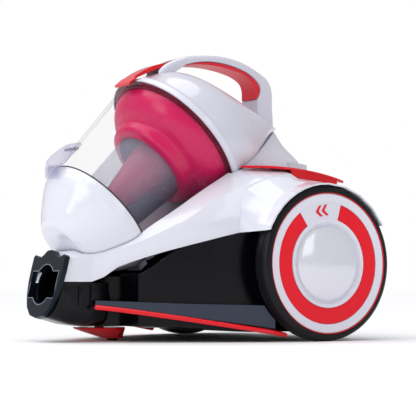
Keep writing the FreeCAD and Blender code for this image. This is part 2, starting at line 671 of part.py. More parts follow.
def skirt():
    """Dark ledge along the foot of the base, deepest in front of the wheel."""
    outer = [V(x, y, 0) for y, x in SKIRT]
    inner = []
    for y in (26.0, 10.0, -8.0, -28.0, -48.0, -68.0, -86.0):
        inner.append(V(along(SHELL, y, 1) + 0.4, y, 0))
    inner += [V(56.0, -92.0, 0), V(34.0, -104.0, 0), V(34.0, -121.0, 0)]
    curve = spline(outer)
    wire = [curve, line(outer[-1], V(124.0, 34.0, 0)), line(V(124.0, 34.0, 0), inner[0])]
    wire += [line(a, b) for a, b in zip(inner, inner[1:])]
    wire += [line(inner[-1], outer[0])]
    plan = Part.Face(Part.Wire(wire)).extrude(V(0, 0, 60))
    band = side_prism([(-130, 37.6), (-130, 42.0), (-50, 38.6), (32, 36.6), (52, 14.5), (46, 12.0),
                       (36, 13.0)], 20, 150)
    part = plan.common(band)
    hollow = side_prism([(-140, 0), (-140, 38.6), (-50, 35.2), (29, 33.2), (60, 0)],
                        20, 150)
    core = plan.copy()
    core.translate(V(-3.2, 1.0, 0))
    part = part.cut(core.common(hollow))
    part = part.cut(turned_x([(100, 0), (150, 0), (150, 82.0), (100, 82.0)]))
    part = part.cut(rod_z(TOWER_R + 0.3, 0, TOWER_Y, 0, 100))
    return biggest(part)


def trim_strip():
    """Bright strip that runs down the lower edge of the skirt."""
    outer = [V(x + 0.4, y, 0) for y, x in SKIRT]
    path = []
    for p in outer:
        t = (p.y + 125.0) / 157.0
        path.append(V(p.x, p.y, 35.2 - 26.0 * t ** 1.05))
    path.append(V(129.8, 44.0, 7.0))
    curve = spline(path)
    wire = Part.Wire([curve])
    start = path[0]
    circle = Part.Wire([Part.makeCircle(2.4, start, path[1] - path[0])])
    strip = wire.makePipeShell([circle], True, True)
    end = Part.makeSphere(2.4, path[-1])
    return biggest(strip.fuse(end).removeSplitter())


# ---------------------------------------------------------------- inlet and caster

def inlet_place(shape):
    """Stand a part made about the z axis on the inlet bore, +z out of the mouth."""
    out = shape.copy()
    turn = FreeCAD.Rotation(V(1, 0, 0), 90.0 - INLET_LEAN)
    out.Placement = FreeCAD.Placement(INLET, turn)
    return out


def shield(grow, z0, z1):
    """Shield outline of the bezel: ears at the top corners, narrowing to the foot."""
    half = [(0.0, 36.0), (7.0, 35.2), (13.0, 31.0), (18.0, 28.2), (23.0, 28.2), (31.0, 31.0), (34.2, 29.0),
            (34.4, 15.0), (33.6, 2.0), (30.4, -12.0), (24.0, -24.0), (14.0, -32.0),
            (0.0, -34.8)]
    pts = []
    for x, y in half:
        n = math.hypot(x, y)
        pts.append(V(x * (n + grow) / n, y * (n + grow) / n, z0))
    left = [V(-p.x, p.y, p.z) for p in pts[-2:0:-1]]
    return polygon(pts + left).extrude(V(0, 0, z1 - z0))


def notch(z0, z1):
    """Side slots beside the bore that key the hose end."""
    return box(-28.0, 28.0, -13.5, 13.5, z0, z1)


def inlet_bezel():
    plate = shield(0.0, -4.5, 1.0)
    plate = plate.cut(Part.makeCylinder(BORE_R, 20, V(0, 0, -10)))
    plate = plate.cut(notch(-6.0, 2.0))
    return inlet_place(plate)


def inlet_barrel():
    """Round socket behind the bezel that takes the hose end."""
    tube = turned([(BORE_R, -4.6 - BORE_LEN), (BORE_R + 3.0, -4.6 - BORE_LEN),
                   (BORE_R + 3.0, -4.6), (BORE_R, -4.6)])
    return inlet_place(tube)


def inlet_housing():
    """Black lower front between the bezel and the tower, with recessed side panels."""
    wires = []
    for y, half, low, top in ((-170.0, 30.0, 26.0, 59.6), (-158.0, 33.0, 22.5, 59.6),
                              (-140.0, 36.0, 17.8, 59.6), (-124.0, 36.5, 15.6, 59.6),
                              (-108.0, 34.0, 15.6, 59.6)):
        pts = [(half, y, top), (half, y, low + 22), (half * 0.88, y, low + 9.0),
               (half * 0.6, y, low + 1.5), (0, y, low)]
        left = [(-x, yy, z) for x, yy, z in pts[-2::-1]]
        wires.append(Part.Wire([spline(pts + left), line(V(*left[-1]), V(*pts[0]))]))
    body = Part.makeLoft(wires, True, True)
    body = body.cut(inlet_place(Part.makeBox(200, 200, 100, V(-100, -100, -4.5))))
    body = body.cut(rod_z(TOWER_R + 0.1, 0, TOWER_Y, -10, 100))
    body = body.cut(inlet_place(Part.makeCylinder(BORE_R, 80, V(0, 0, -80))))
    body = body.fuse(inlet_barrel())
    for side in (-1, 1):
        for y0, y1 in ((-151.0, -140.5), (-138.0, -127.0)):
            groove = box(34.6, 40, y0, y1, 28, 57.0)
            body = body.cut(mirrored(groove) if side < 0 else groove)
    return biggest(body)


def tower():
    """Black column over the caster; the air path turns upward inside it."""
    column = ring_z(TOWER_R, TOWER_R - 2.5, 0, TOWER_Y, 24.0, 66.0)
    column = column.fuse(rod_z(TOWER_R, 0, TOWER_Y, 15.4, 26.0))
    column = column.fuse(rod_z(TOWER_R, 0, TOWER_Y, 63.5, 66.0))
    column = column.cut(rod_z(5.06, 0, CASTER_Y, 10, 19.8))
    column = column.cut(inlet_place(Part.makeCylinder(BORE_R + 3.2, 64, V(0, 0, -66))))
    y = TOWER_Y + 10
    column = column.cut(Part.makeCylinder(DUCT_R + 2.6, 40, V(0, y, DUCT_Z), V(0, 1, 0)))
    column = column.cut(cup_bay())
    return biggest(column)


def suction_duct():
    """Pipe from the tower, under the cup, up to the port in the cup wall."""
    y0, y1 = TOWER_Y + TOWER_R - 4.0, -45.0
    sweep = 90.0 + TILT
    out = None
    for r in (DUCT_R + 2.4, DUCT_R):
        leg = Part.makeCylinder(r, y1 - y0, V(0, y0, DUCT_Z), V(0, 1, 0))
        disc = Part.Face(Part.Wire([Part.makeCircle(r, V(0, y1, DUCT_Z), V(0, 1, 0))]))
        elbow = disc.revolve(V(0, y1, DUCT_Z + DUCT_BEND), V(1, 0, 0), sweep)
        b = math.radians(sweep)
        end = V(0, y1 + DUCT_BEND * math.sin(b), DUCT_Z + DUCT_BEND * (1 - math.cos(b)))
        up = V(0, math.cos(b), math.sin(b))
        riser = Part.makeCylinder(r, 8.6, end, up)
        body = leg.fuse(elbow).fuse(riser)
        out = body if out is None else out.cut(body)
    return biggest(out)


CASTER_BOWL = [(14.0, 0.0, 26.4), (13.2, 0.0, 27.0), (12.0, 1.0, 25.8), (9.4, 4.8, 21.8),
               (6.8, 9.0, 17.4), (4.6, 12.6, 13.8), (3.2, 14.6, 11.8), (2.6, 15.2, 10.4)]


def caster_turntable():
    """Red swivel bowl under the nose, deepest over its roller."""
    rings = []
    for z, back, r in CASTER_BOWL:
        rings.append(Part.Wire([Part.makeCircle(r, V(0, CASTER_Y + back, z), V(0, 0, 1))]))
    part = Part.makeLoft(rings, True, True)
    y = CASTER_Y + CASTER_TRAIL
    part = part.fuse(rod_z(5.0, 0, CASTER_Y, 13.0, 19.4))
    part = part.cut(rod_x(CASTER_WHEEL_R + 1.0, -6.6, 6.6, y, CASTER_WHEEL_R))
    part = part.cut(rod_x(1.5, -30, 30, y, CASTER_WHEEL_R))
    return biggest(part)


def caster_wheel():
    y = CASTER_Y + CASTER_TRAIL
    w = turned_x([(-6.0, 1.56), (6.0, 1.56), (6.0, CASTER_WHEEL_R - 0.8),
                  (5.2, CASTER_WHEEL_R), (-5.2, CASTER_WHEEL_R), (-6.0, CASTER_WHEEL_R - 0.8)],
                 y, CASTER_WHEEL_R)
    return w


def caster_pin():
    return rod_x(1.5, -9.0, 9.0, CASTER_Y + CASTER_TRAIL, CASTER_WHEEL_R)


# ---------------------------------------------------------------- wheels

def wheel_parts():
    """Big wheel on the +X side: tyre, rim, trim line, inset and hub cap."""
    r = WHEEL_R
    tyre = turned_x([(WHEEL_IN + 1.0, 72.4), (WHEEL_IN, 74.0), (WHEEL_IN, 75.5),
                     (WHEEL_IN + 1.4, 78.4), (WHEEL_IN + 4.0, r), (138.5, r), (142.0, 78.2),
                     (143.6, 75.4), (143.8, 73.0), (143.4, 72.4)])
    rim = turned_x([(119.0, 10.0), (119.0, AXLE_R + 0.06), (136.2, AXLE_R + 0.06),
                    (136.2, 11.0), (139.0, 11.0), (139.0, 40.0), (141.6, 42.0),
                    (142.0, 45.5), (139.4, 45.6), (139.4, 62.2), (142.0, 62.3),
                    (143.0, 70.6), (142.6, 71.2), (136.0, 71.6), (136.0, 72.3), (125.0, 72.3),
                    (125.0, 69.4), (135.4, 66.0), (135.4, 12.0), (128.0, 10.0)])
    wedge_pts = [V(139.0, WHEEL_Y, WHEEL_R)]
    for i in range(11):
        b = math.radians(15.0 - 50.0 * i / 10.0)
        wedge_pts.append(V(139.0, WHEEL_Y + 90 * math.sin(b), WHEEL_R + 90 * math.cos(b)))
    wedge = polygon(wedge_pts).extrude(V(4.0, 0, 0))
    bridge = turned_x([(139.2, 45.55), (139.2, 62.25), (142.0, 62.25), (142.0, 45.55)])
    bridge = bridge.common(wedge)
    rim = rim.fuse(bridge)
    inset = turned_x([(139.4, 45.8), (141.3, 45.8), (141.3, 62.0), (139.4, 62.0)])
    wedge2 = wedge.copy()
    inset = inset.cut(wedge2)
    trim = turned_x([(136.2, 71.9), (143.3, 71.5), (143.6, 72.2), (136.2, 72.3)])
    hub = turned_x([(139.2, 0.0), (145.0, 0.0), (144.9, 12.0), (144.3, 24.0), (143.2, 32.0),
                    (141.6, 37.0), (140.0, 38.2), (139.2, 38.4)])
    return {"tyre": tyre, "rim": rim, "inset": inset, "trim_ring": trim, "hub_cap": hub}


def axle():
    """Steel stub fixed in the base; the wheel turns on its outer end."""
    return rod_x(AXLE_R, 86.0, 137.0, WHEEL_Y, WHEEL_R)


def axle_clip():
    """Ring that keeps the wheel on its stub."""
    return turned_x([(136.6, AXLE_R + 0.02), (136.6, 9.6), (138.0, 9.6), (138.0, AXLE_R + 0.02)])


# ---------------------------------------------------------------- inside the base

MOTOR_X = 30.0
MOTOR_Y = 84.0
REEL_X = -62.0
REEL_Y = 92.0
REEL_Z = 86.0


def motor_can():
    can = rod_z(42.0, MOTOR_X, MOTOR_Y, 40.0, 104.0)
    can = can.cut(rod_z(39.5, MOTOR_X, MOTOR_Y, 43.0, 110.0))
    for k in range(8):
        slot = box(36, 46, -4, 4, 50, 80)
        slot.rotate(V(0, 0, 0), V(0, 0, 1), 45.0 * k + 22.5)
        slot.translate(V(MOTOR_X, MOTOR_Y, 0))
        can = can.cut(slot)
    can = can.cut(rod_z(4.06, MOTOR_X, MOTOR_Y, 30.0, 50.0))
    return can


def fan_shroud():
    hood = rod_z(46.0, MOTOR_X, MOTOR_Y, 104.0, 130.0)
    hood = hood.cut(rod_z(43.5, MOTOR_X, MOTOR_Y, 104.0, 127.5))
    hood = hood.cut(rod_z(16.0, MOTOR_X, MOTOR_Y, 120.0, 140.0))
    hood = hood.fuse(ring_z(18.5, 16.0, MOTOR_X, MOTOR_Y, 127.5, 137.0))
    return hood


def impeller():
    wheel = rod_z(37.0, MOTOR_X, MOTOR_Y, 107.0, 109.0)
    for k in range(9):
        blade = box(9.0, 36.0, -0.8, 0.8, 108.5, 121.0)
        blade.rotate(V(12, 0, 0), V(0, 0, 1), 32.0)
        blade.rotate(V(0, 0, 0), V(0, 0, 1), 40.0 * k)
        blade.translate(V(MOTOR_X, MOTOR_Y, 0))
        wheel = wheel.fuse(blade)
    wheel = wheel.fuse(rod_z(8.0, MOTOR_X, MOTOR_Y, 107.0, 121.0))
    wheel = wheel.fuse(rod_z(4.0, MOTOR_X, MOTOR_Y, 36.0, 108.0))
    wheel = wheel.fuse(rod_z(14.0, MOTOR_X, MOTOR_Y, 56.0, 88.0))
    return biggest(wheel)


def motor_mount():
    ring = ring_z(46.0, 42.0, MOTOR_X, MOTOR_Y, 44.0, 60.0)
    for k in range(3):
        leg = box(42.5, 52.0, -5, 5, 44.0, 56.0)
        leg.rotate(V(0, 0, 0), V(0, 0, 1), 120.0 * k + 30)
        leg.translate(V(MOTOR_X, MOTOR_Y, 0))
        ring = ring.fuse(leg)
    for x, y in ((-10, 60), (70, 60), (30, 137)):
        ring = ring.fuse(rod_z(5.0, x, y, 15.8, 56.0))
    return biggest(ring.cut(rod_z(42.0, MOTOR_X, MOTOR_Y, 10.0, 100.0)))


def outlet_duct():
    """Short pipe from the top of the cup bay down to the eye of the fan."""
    top = cup_point(0, 42.0, seam_h(42.0) - 4.0)
    low = V(MOTOR_X, MOTOR_Y, 137.4)
    wires = []
    n = 8
    for i in range(n + 1):
        t = i / float(n)
        e = t * t * (3 - 2 * t)
        c = low + (top - low) * t
        c = V(low.x + (top.x - low.x) * e, low.y + (top.y - low.y) * e, c.z)
        r = 18.5 + 2.0 * t
        tilt = math.radians(TILT) * t
        normal = V(0, -math.sin(tilt), math.cos(tilt))
        wires.append((c, normal, r))
    out = Part.makeLoft([Part.Wire([Part.makeCircle(r, c, n)]) for c, n, r in wires], True)
    inn = Part.makeLoft([Part.Wire([Part.makeCircle(r - 2.0, c, n)]) for c, n, r in wires], True)
    return out.cut(inn)


def reel_drum():
    """Empty cord reel: two flanges on a hub, cross axle."""
    drum = rod_x(50.0, REEL_X - 18, REEL_X - 15.5, REEL_Y, REEL_Z)
    drum = drum.fuse(rod_x(50.0, REEL_X + 15.5, REEL_X + 18, REEL_Y, REEL_Z))
    drum = drum.fuse(rod_x(28.0, REEL_X - 16, REEL_X + 16, REEL_Y, REEL_Z))
    drum = drum.cut(rod_x(25.0, REEL_X - 20, REEL_X + 10, REEL_Y, REEL_Z))
    drum = drum.cut(rod_x(5.06, REEL_X - 40, REEL_X + 40, REEL_Y, REEL_Z))
    return drum


def reel_bracket():
    """Upright plate with the post that the reel turns on."""
    plate = box(REEL_X + 19.0, REEL_X + 22.0, REEL_Y - 16, REEL_Y + 16, 15.0, REEL_Z + 14)
    return plate.fuse(rod_x(5.0, REEL_X - 22.0, REEL_X + 21.0, REEL_Y, REEL_Z))


def circuit_board():
    board = box(-30, 20, 138, 139.6, 60, 110)
    for x0, x1, z0, z1, d in ((-24, -10, 66, 84, 8), (-4, 8, 70, 78, 5), (-20, -12, 92, 104, 6),
                              (2, 14, 90, 104, 7)):
        board = board.fuse(box(x0, x1, 138 - d, 138.4, z0, z1))
    return board


def exhaust_filter():
    block = box(-44, 44, 146.5, 155.0, 50, 106)
    for k in range(14):
        x = -41.0 + 6.0 * k
        block = block.cut(box(x, x + 3.0, 146, 151.5, 52, 104))
    return block


def exhaust_grille():
    frame = box(-46, 46, 165.2, 167.6, 47.0, 109.0)
    for k in range(7):
        z = 52.0 + 8.0 * k
        frame = frame.cut(box(-42, 42, 160, 170, z, z + 4.2))
    return frame


def cord_gland():
    gland = Part.makeCylinder(9.5, 2.6, V(62, 165.4, 96), V(0, 1, 0))
    gland = gland.fuse(Part.makeCylinder(6.9, 10.0, V(62, 157.0, 96), V(0, 1, 0)))
    return gland.cut(Part.makeCylinder(4.0, 40, V(62, 140, 96), V(0, 1, 0)))


def cup_cradle():
    """Pale trough under the cup, between the arms of the shell."""
    prof = [(67.2, -110.0), (69.8, -110.0), (CUP_R1 + 3.2, -8.0), (CUP_R1 + 0.6, -8.0)]
    trough = turned([(r + 0.5, s) for r, s in prof], 104.0, 38.0)
    trough = cup_place(trough)
    port = cup_place(Part.makeCylinder(DUCT_R + 3.0, 60, V(0, 45, -92.3), V(0, 1, 0)))
    return trough.cut(port)


def power_switch():
    body = box(80, 94, 88, 108, 138, 154)
    return body.fuse(rod_z(2.5, 87, 98, 153, 158.5))


def build():
    parts = {}
    wheel = wheel_parts()
    for side, name in ((1, "right"), (-1, "left")):
        for node, shape in wheel.items():
            parts[node + "_" + name] = mirrored(shape) if side < 0 else shape
        parts["axle_" + name] = mirrored(axle()) if side < 0 else axle()
    parts["axle_clips"] = Part.makeCompound([axle_clip(), mirrored(axle_clip())])
    housing = inlet_housing()
    strip = trim_strip()
    ledge = biggest(skirt().cut(housing).cut(strip))
    for side, name in ((1, "right"), (-1, "left")):
        parts["skirt_" + name] = mirrored(ledge) if side < 0 else ledge
        parts["trim_strip_" + name] = mirrored(strip) if side < 0 else strip
    parts["pedal_power"] = pedal()
    parts["pedal_rewind"] = mirrored(pedal())
    parts["inlet_bezel"] = inlet_bezel()
    parts["inlet_housing"] = housing
    parts["tower"] = tower()
    parts["suction_duct"] = suction_duct()
    parts["caster_turntable"] = caster_turntable()
    parts["caster_wheel"] = caster_wheel()
    parts["caster_pin"] = caster_pin()
    parts["base_tub"] = base_tub()
    parts["upper_shell"] = upper_shell()
    parts["rear_cover"] = rear_cover()
    parts["cup_cradle"] = cup_cradle()
    parts["motor_can"] = motor_can()
    parts["motor_mount"] = motor_mount()
    parts["fan_shroud"] = fan_shroud()
    parts["impeller"] = impeller()
    parts["outlet_duct"] = outlet_duct()
    parts["reel_drum"] = reel_drum()
    parts["reel_bracket"] = reel_bracket()
    parts["power_switch"] = power_switch()
    parts["circuit_board"] = circuit_board()
    parts["exhaust_filter"] = exhaust_filter()
    parts["exhaust_grille"] = exhaust_grille()
    parts["cord_gland"] = cord_gland()
    mesh, foot = cyclone_shroud()
    for node, shape in (("cup", cup_body()), ("cup_lid", cup_lid()), ("cup_gasket", cup_gasket()),
                        ("lid_hinge", lid_hinge()), ("latch_pin", latch_pin()),
                        ("lid_latch", lid_latch()), ("cyclone_drum", cyclone_drum()),
                        ("cyclone_top", cyclone_top()), ("cyclone_cone", cyclone_cone()),
                        ("cyclone_mesh", mesh), ("cyclone_foot", foot), ("rim_seal", rim_seal()),
                        ("pre_filter", pre_filter()), ("cup_cover", cup_cover()),
                        ("release_button", release_button()), ("button_pin", button_pin())):
        parts[node] = cup_place(shape)
    parts["handle"] = handle()
    parts["handle_grip"] = handle_grip()
    return parts


for node_name, node_shape in build().items():
    save(node_name, node_shape)
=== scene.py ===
import bpy
import bmesh
import json
import math
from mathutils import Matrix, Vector


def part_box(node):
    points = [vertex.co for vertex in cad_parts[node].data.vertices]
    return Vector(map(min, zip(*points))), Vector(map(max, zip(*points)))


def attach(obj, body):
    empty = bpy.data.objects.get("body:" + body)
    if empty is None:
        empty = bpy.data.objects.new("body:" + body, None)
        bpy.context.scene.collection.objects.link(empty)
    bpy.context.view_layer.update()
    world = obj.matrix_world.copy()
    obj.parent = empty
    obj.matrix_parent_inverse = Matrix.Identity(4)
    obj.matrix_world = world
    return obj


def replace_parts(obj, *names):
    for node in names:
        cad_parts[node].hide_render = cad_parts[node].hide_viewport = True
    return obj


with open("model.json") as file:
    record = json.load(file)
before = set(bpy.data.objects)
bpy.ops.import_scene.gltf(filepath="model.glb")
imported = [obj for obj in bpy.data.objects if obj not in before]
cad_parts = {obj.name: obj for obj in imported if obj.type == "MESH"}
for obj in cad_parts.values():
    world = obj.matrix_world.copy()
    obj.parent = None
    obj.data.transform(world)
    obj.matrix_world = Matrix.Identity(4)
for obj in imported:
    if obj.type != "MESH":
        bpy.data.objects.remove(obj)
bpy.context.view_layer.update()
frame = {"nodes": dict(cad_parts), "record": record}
nodes = frame["nodes"]


# ---------------------------------------------------------------- materials

def new_material(name):
    """New node material with its tree and its Principled shader."""
    mat = bpy.data.materials.new(name)
    mat.use_nodes = True
    bsdf = mat.node_tree.nodes["Principled BSDF"]
    return mat, mat.node_tree, bsdf


def add(tree, kind, **values):
    """New node, its sockets or settings filled in by name."""
    node = tree.nodes.new(kind)
    for key, value in values.items():
        if key in node.inputs:
            node.inputs[key].default_value = value
        else:
            setattr(node, key, value)
    return node


def noise(tree, scale, detail=3.0, rough=0.6):
    """Noise in the object's own coordinates."""
    coord = add(tree, "ShaderNodeTexCoord")
    node = add(tree, "ShaderNodeTexNoise", Scale=scale, Detail=detail, Roughness=rough)
    tree.links.new(coord.outputs["Object"], node.inputs["Vector"])
    return node


def mapped(tree, source, low, high, start=0.3, stop=0.7):
    """The source socket rescaled from start..stop to low..high."""
    node = add(tree, "ShaderNodeMapRange")
    node.inputs["From Min"].default_value = start
    node.inputs["From Max"].default_value = stop
    node.inputs["To Min"].default_value = low
    node.inputs["To Max"].default_value = high
    tree.links.new(source, node.inputs["Value"])
    return node.outputs["Result"]


def plastic(name, color, rough=0.3, spread=0.06, grain=900.0, bump=0.02, coat=0.0, spec=0.5,
            tint=0.03, metallic=0.0, edge=0.0007):
    """Moulded plastic: fine grain, soft patches in gloss and colour, eased edges (edge in m)."""
    mat, tree, bsdf = new_material(name)
    links = tree.links
    fine, broad = noise(tree, grain), noise(tree, 14.0, 4.0)
    links.new(mapped(tree, broad.outputs["Fac"], max(0.02, rough - spread), rough + spread),
              bsdf.inputs["Roughness"])
    mix = add(tree, "ShaderNodeMix", data_type="RGBA")
    mix.inputs[6].default_value = (*[c * (1.0 - tint) for c in color], 1.0)
    mix.inputs[7].default_value = (*[min(1.0, c * (1.0 + tint)) for c in color], 1.0)
    links.new(broad.outputs["Fac"], mix.inputs[0])
    links.new(mix.outputs[2], bsdf.inputs["Base Color"])
    bump_node = add(tree, "ShaderNodeBump", Strength=bump, Distance=0.0004)
    links.new(fine.outputs["Fac"], bump_node.inputs["Height"])
    if edge:
        eased = add(tree, "ShaderNodeBevel", samples=4)
        eased.inputs["Radius"].default_value = edge
        links.new(eased.outputs["Normal"], bump_node.inputs["Normal"])
    links.new(bump_node.outputs["Normal"], bsdf.inputs["Normal"])
    bsdf.inputs["Coat Weight"].default_value = coat
    bsdf.inputs["Coat Roughness"].default_value = 0.06
    bsdf.inputs["Specular IOR Level"].default_value = spec
    bsdf.inputs["Metallic"].default_value = metallic
    return mat


def clear(name, color, alpha=0.25, rough=0.04, coat=0.6, rim=0.5):
    """Clear plastic as a tinted film, from alpha face on to rim where it is seen edge on."""
    mat, tree, bsdf = new_material(name)
    links = tree.links
    broad = noise(tree, 9.0)
    links.new(mapped(tree, broad.outputs["Fac"], rough, rough + 0.05), bsdf.inputs["Roughness"])
    facing = add(tree, "ShaderNodeLayerWeight", Blend=0.35)
    links.new(mapped(tree, facing.outputs["Facing"], alpha, rim, 0.62, 1.0),
              bsdf.inputs["Alpha"])
    bsdf.inputs["Base Color"].default_value = (*color, 1.0)
    bsdf.inputs["Coat Weight"].default_value = coat
    bsdf.inputs["Coat Roughness"].default_value = 0.03
    bsdf.inputs["Specular IOR Level"].default_value = 0.3
    return mat


def gauze(name, color):
    """Fine punched screen: rows of tiny holes that let some light through."""
    mat, tree, bsdf = new_material(name)
    links = tree.links
    coord = add(tree, "ShaderNodeTexCoord")
    cells = add(tree, "ShaderNodeTexVoronoi", Scale=620.0, Randomness=0.0)
    links.new(coord.outputs["Object"], cells.inputs["Vector"])
    links.new(mapped(tree, cells.outputs["Distance"], 0.05, 0.24, 0.30, 0.42), bsdf.inputs["Alpha"])
    links.new(mapped(tree, cells.outputs["Distance"], 0.5, 0.25, 0.2, 0.6), bsdf.inputs["Roughness"])
    bsdf.inputs["Base Color"].default_value = (*color, 1.0)
    bsdf.inputs["Specular IOR Level"].default_value = 0.3
    return mat


def srgb(r, g, b):
    """Linear colour from 0 to 255 screen values."""
    out = []
    for c in (r, g, b):
        c = c / 255.0
        out.append(c / 12.92 if c <= 0.04045 else ((c + 0.055) / 1.055) ** 2.4)
    return tuple(out)


MATS = {
    "tyre": plastic("tyre_rubber", srgb(15, 14, 19), rough=0.34, grain=1600, bump=0.08, spec=0.22),
    "satin_white": plastic("satin_white", srgb(222, 222, 234), rough=0.30, bump=0.02, coat=0.2),
    "red_satin": plastic("red_satin", srgb(232, 8, 34), rough=0.36, bump=0.06, spec=0.3),
    "red_gloss": plastic("red_gloss", srgb(228, 2, 26), rough=0.20, coat=0.25, spec=0.35),
    "pearl_silver": plastic("pearl_silver", srgb(222, 222, 232), rough=0.14, coat=0.8,
                            metallic=0.15),
    "steel": plastic("steel", srgb(170, 170, 176), rough=0.28, metallic=1.0),
    "slate": plastic("slate", srgb(48, 55, 72), rough=0.28, coat=0.1, spec=0.3),
    "navy_black": plastic("navy_black", srgb(9, 20, 32), rough=0.20, coat=0.0, spec=0.22),
    "black_gloss": plastic("black_gloss", srgb(7, 6, 12), rough=0.20, coat=0.0, spec=0.22),
    "black_matte": plastic("black_matte", srgb(22, 22, 28), rough=0.45, bump=0.08, spec=0.25),
    "edge_grey": plastic("edge_grey", srgb(120, 124, 134), rough=0.4, edge=0.0),
    "drum_magenta": plastic("drum_magenta", srgb(212, 0, 84), rough=0.24, coat=0.15, spec=0.3),
    "white_gloss": plastic("white_gloss", srgb(226, 227, 238), rough=0.16, coat=0.5),
    "pale_grey": plastic("pale_grey", srgb(212, 211, 224), rough=0.18, coat=0.5),
    "soft_black": plastic("soft_black", srgb(30, 30, 32), rough=0.6, bump=0.1),
    "board_green": plastic("board_green", srgb(30, 90, 52), rough=0.4),
    "filter_white": plastic("filter_white", srgb(226, 226, 220), rough=0.85, bump=0.4, grain=500),
    "clear_tint": clear("clear_tint", srgb(150, 128, 172), alpha=0.022, rim=0.42, coat=0.0),
    "clear_plain": clear("clear_plain", srgb(176, 172, 208), alpha=0.30, rim=0.85, coat=0.3),
    "cyclone_red": plastic("cyclone_red", srgb(214, 0, 84), rough=0.24, coat=0.15, spec=0.3),
    "mesh_grey": gauze("mesh_grey", srgb(190, 196, 216)),
    "dark_red_seal": plastic("dark_red_seal", srgb(110, 4, 32), rough=0.35),
    "red_soft": plastic("red_soft", srgb(226, 12, 44), rough=0.42, bump=0.10, grain=1400),
}

for part in frame["record"]["subparts"]:
    obj = nodes[part["node"]]
    obj.data.materials.clear()
    obj.data.materials.append(MATS[part["material_slot"]])


# ---------------------------------------------------------------- pieces

MM = 0.001
record = frame["record"]


def mesh_object(name, verts, faces, mat, body, sharp=40.0):
    """Object from millimetre points, smooth shaded with hard edges kept."""
    mesh = bpy.data.meshes.new(name)
    mesh.from_pydata([Vector(v) * MM for v in verts], [], faces)
    bm = bmesh.new()
    bm.from_mesh(mesh)
    bmesh.ops.remove_doubles(bm, verts=bm.verts, dist=1e-6)
    bmesh.ops.recalc_face_normals(bm, faces=bm.faces)
    for face in bm.faces:
        face.smooth = True
    bm.to_mesh(mesh)
    bm.free()
    mesh.set_sharp_from_angle(angle=math.radians(sharp))
    mesh.materials.append(mat)
    obj = bpy.data.objects.new(name, mesh)
    bpy.context.scene.collection.objects.link(obj)
    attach(obj, body)
    return obj


def grid_faces(rows, cols, closed_rows=False, closed_cols=True):
    """Faces of a grid of points stored row by row."""
    faces = []
    for i in range(rows if closed_rows else rows - 1):
        for j in range(cols if closed_cols else cols - 1):
            a, b = i * cols + j, i * cols + (j + 1) % cols
            k = ((i + 1) % rows) * cols
            faces.append((a, b, k + (j + 1) % cols, k + j))
    return faces


def lathe(name, profile, side, centre, mat, body, segments=160, sharp=40.0):
    """Ring turned about the wheel axis from a closed (x, radius) profile in mm."""
    verts = []
    for x, r in profile:
        for j in range(segments):
            a = 2 * math.pi * j / segments
            verts.append((side * x, centre[0] + r * math.cos(a), centre[1] + r * math.sin(a)))
    return mesh_object(name, verts, grid_faces(len(profile), segments, True), mat, body, sharp)


# closed (x, radius) profiles of the wheel pieces
TYRE = [(123.0, 72.45), (122.0, 74.0), (122.0, 76.0), (123.6, 78.6), (126.0, 79.4), (128.2, 79.5),
        (128.5, 78.6), (129.5, 78.6), (129.8, 79.5), (134.0, 79.5), (134.3, 78.6), (135.3, 78.6),
        (135.6, 79.5), (138.4, 79.4), (141.6, 78.2), (142.8, 76.8), (142.9, 76.2), (143.5, 75.8),
        (143.9, 74.2), (143.6, 72.5)]
HUB = [(139.0, 38.4), (139.8, 38.2), (140.6, 37.6), (141.3, 36.6), (142.2, 34.6), (143.2, 31.4),
       (144.2, 27.2), (145.1, 22.2), (145.8, 16.6), (146.3, 10.6), (146.5, 5.0), (146.55, 0.6),
       (146.55, 0.05), (139.0, 0.05)]


MARK_R = 54.0
MARK_ANGLE = math.radians(-10.0)
MARK_FROM, MARK_TO = 141.7, 142.75
MARK_SHIFTS = (-4.2, 3.4)
CHEVRON = [(3.6, 0.0), (-1.4, 5.6), (-4.6, 5.6), (0.2, 0.0), (-4.6, -5.6), (-1.4, -5.6)]


def chevrons(side, centre, body):
    """Two plain chevrons on the bridge of the rim, pointing forwards."""
    up = Vector((math.sin(MARK_ANGLE), math.cos(MARK_ANGLE)))
    along = Vector((-up.y, up.x))
    mid = Vector(centre) + up * MARK_R
    verts, faces = [], []
    n = len(CHEVRON)
    for shift in MARK_SHIFTS:
        base = len(verts)
        for x in (MARK_FROM, MARK_TO):
            for a, b in CHEVRON:
                p = mid + along * (a + shift) + up * b
                verts.append((side * x, p.x, p.y))
        for start in (base, base + n):
            faces.append((start, start + 1, start + 2, start + 3))
            faces.append((start, start + 3, start + 4, start + 5))
        for j in range(n):
            k = (j + 1) % n
            faces.append((base + j, base + k, base + n + k, base + n + j))
    obj = mesh_object("chevrons_" + body, verts, faces, MATS["red_gloss"], body, 30.0)
    bevel = obj.modifiers.new("soft edge", "BEVEL")
    bevel.width = 0.3 * MM
    bevel.segments = 3
    bevel.limit_method = "ANGLE"


for name, side in (("right", 1), ("left", -1)):
    low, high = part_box("tyre_" + name)
    hub_at = ((low[1] + high[1]) / 2 / MM, (low[2] + high[2]) / 2 / MM)
    wheel = "wheel_" + name
    tyre = lathe("tyre_" + name + "_grooved", TYRE, side, hub_at, MATS["tyre"], wheel,
                 sharp=50.0)
    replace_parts(tyre, "tyre_" + name)
    hub = lathe("hub_" + name + "_dome", HUB, side, hub_at, MATS["pearl_silver"], wheel,
                sharp=50.0)
    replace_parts(hub, "hub_cap_" + name)
    chevrons(side, hub_at, wheel)

# the cup axis runs square to the lift of the cup, up and back from the gasket to the rim
GASKET_TO_RIM = 120.4
lift = next(j for j in record["behaviour"]["joints"] if j["name"] == "cup_lift")
normal = Vector(lift["axis"]).normalized()
axis = Vector((0.0, normal.z, -normal.y))
low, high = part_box("cup_gasket")
gasket = (Vector(low) + Vector(high)) / 2 / MM
rim = gasket + axis * GASKET_TO_RIM


